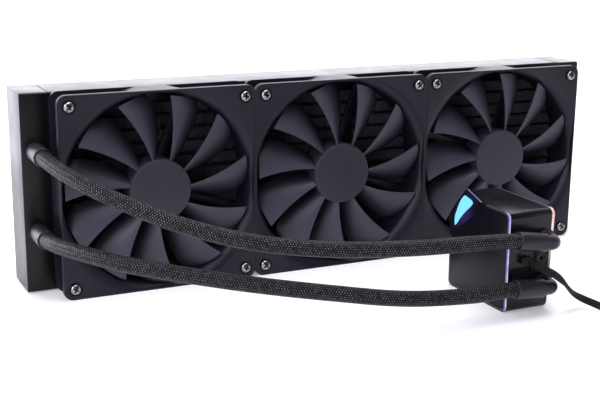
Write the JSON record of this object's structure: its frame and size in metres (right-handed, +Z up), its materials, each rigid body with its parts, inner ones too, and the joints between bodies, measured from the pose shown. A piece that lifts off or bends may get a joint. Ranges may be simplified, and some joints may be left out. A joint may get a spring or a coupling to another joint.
{
  "type": "liquid_cooling_radiator",
  "caption": "A 420 mm liquid cooler: radiator with three 140 mm fans, two braided hoses and a pump block lying on its side",
  "frame": {"origin": "centre of the bounding box's bottom, on the floor, the pump's cable left out", "axes": "+X runs along the radiator, +Y runs from the fans' side to the radiator's bare back, +Z is up as the radiator stands on its long edge"},
  "size_m": [0.458, 0.2893, 0.14],
  "materials": {
    "black_paint": "satin black paint",
    "brazed_fins": "black paint on brazed fins",
    "fan_plastic": "matte slate black",
    "rotor_plastic": "matte slate black",
    "nickel_steel": "nickel plated",
    "bright_steel": "ground",
    "magnet": "dull grey",
    "stator_steel": "laminated steel and copper wire",
    "braided_sleeve": "braided nylon over rubber",
    "tank_ferrule": "light grey satin",
    "black_ferrule": "dark satin",
    "pump_gloss": "gloss black",
    "pump_satin": "satin black",
    "smoked_panel": "smoked gloss",
    "lit_cyan": "lit diffuser",
    "lit_lavender": "lit diffuser",
    "lit_rose": "lit diffuser",
    "copper": "polished copper",
    "circuit_green": "solder mask",
    "white_ceramic": "white",
    "black_rubber": "soft black",
    "cable_sleeve": "flat woven black cable"
  },
  "bodies": {
    "root": {"fan_left_frame": "fan_plastic", "fan_left_stator": "stator_steel", "fan_left_screw_bottom_left": "nickel_steel", "fan_left_screw_bottom_right": "nickel_steel", "fan_left_screw_top_left": "nickel_steel", "fan_left_screw_top_right": "nickel_steel", "fan_middle_frame": "fan_plastic", "fan_middle_stator": "stator_steel", "fan_middle_screw_bottom_left": "nickel_steel", "fan_middle_screw_bottom_right": "nickel_steel", "fan_middle_screw_top_left": "nickel_steel", "fan_middle_screw_top_right": "nickel_steel", "fan_right_frame": "fan_plastic", "fan_right_stator": "stator_steel", "fan_right_screw_bottom_left": "nickel_steel", "fan_right_screw_bottom_right": "nickel_steel", "fan_right_screw_top_left": "nickel_steel", "fan_right_screw_top_right": "nickel_steel", "tank_left": "black_paint", "tank_right": "black_paint", "rail_top": "black_paint", "rail_bottom": "black_paint", "cooling_core": "brazed_fins", "hose_upper": "braided_sleeve", "tank_ferrule_upper": "tank_ferrule", "pump_ferrule_upper": "black_ferrule", "elbow_upper": "black_ferrule", "hose_lower": "braided_sleeve", "tank_ferrule_lower": "tank_ferrule", "pump_ferrule_lower": "black_ferrule", "elbow_lower": "black_ferrule", "display_cover": "pump_gloss", "wrap_shell": "pump_gloss", "light_strip_display_side": "lit_lavender", "light_strip_base_side": "lit_rose", "window_plate": "smoked_panel", "lit_window": "lit_cyan", "circuit_board": "circuit_green", "pump_stator": "stator_steel", "divider_plate": "pump_satin", "chamber_seal": "black_rubber", "impeller_axle": "white_ceramic", "base_housing": "pump_satin", "cold_plate": "copper", "fill_plug": "pump_satin", "cable_gland": "black_rubber", "pump_cable": "cable_sleeve", "cable_coil": "cable_sleeve", "cable_connector": "black_rubber", "cable_tie": "black_rubber"},
    "fan_left_spin": {"fan_left_rotor": "rotor_plastic", "fan_left_shaft": "bright_steel", "fan_left_magnet_ring": "magnet"},
    "fan_middle_spin": {"fan_middle_rotor": "rotor_plastic", "fan_middle_shaft": "bright_steel", "fan_middle_magnet_ring": "magnet"},
    "fan_right_spin": {"fan_right_rotor": "rotor_plastic", "fan_right_shaft": "bright_steel", "fan_right_magnet_ring": "magnet"},
    "pump_impeller": {"impeller": "white_ceramic"}
  },
  "joints": [
    {"name": "fan_left_turn", "type": "hinge", "parent": "root", "child": "fan_left_spin", "pos_m": [-0.14, 0.06048, 0.07], "axis": [0, 1, 0], "continuous": true},
    {"name": "fan_middle_turn", "type": "hinge", "parent": "root", "child": "fan_middle_spin", "pos_m": [0, 0.06048, 0.07], "axis": [0, 1, 0], "continuous": true},
    {"name": "fan_right_turn", "type": "hinge", "parent": "root", "child": "fan_right_spin", "pos_m": [0.14, 0.06048, 0.07], "axis": [0, 1, 0], "continuous": true},
    {"name": "impeller_turn", "type": "hinge", "parent": "root", "child": "pump_impeller", "pos_m": [0.0685, -0.05777, 0.0342], "axis": [1, 0, 0], "continuous": true}
  ]
}
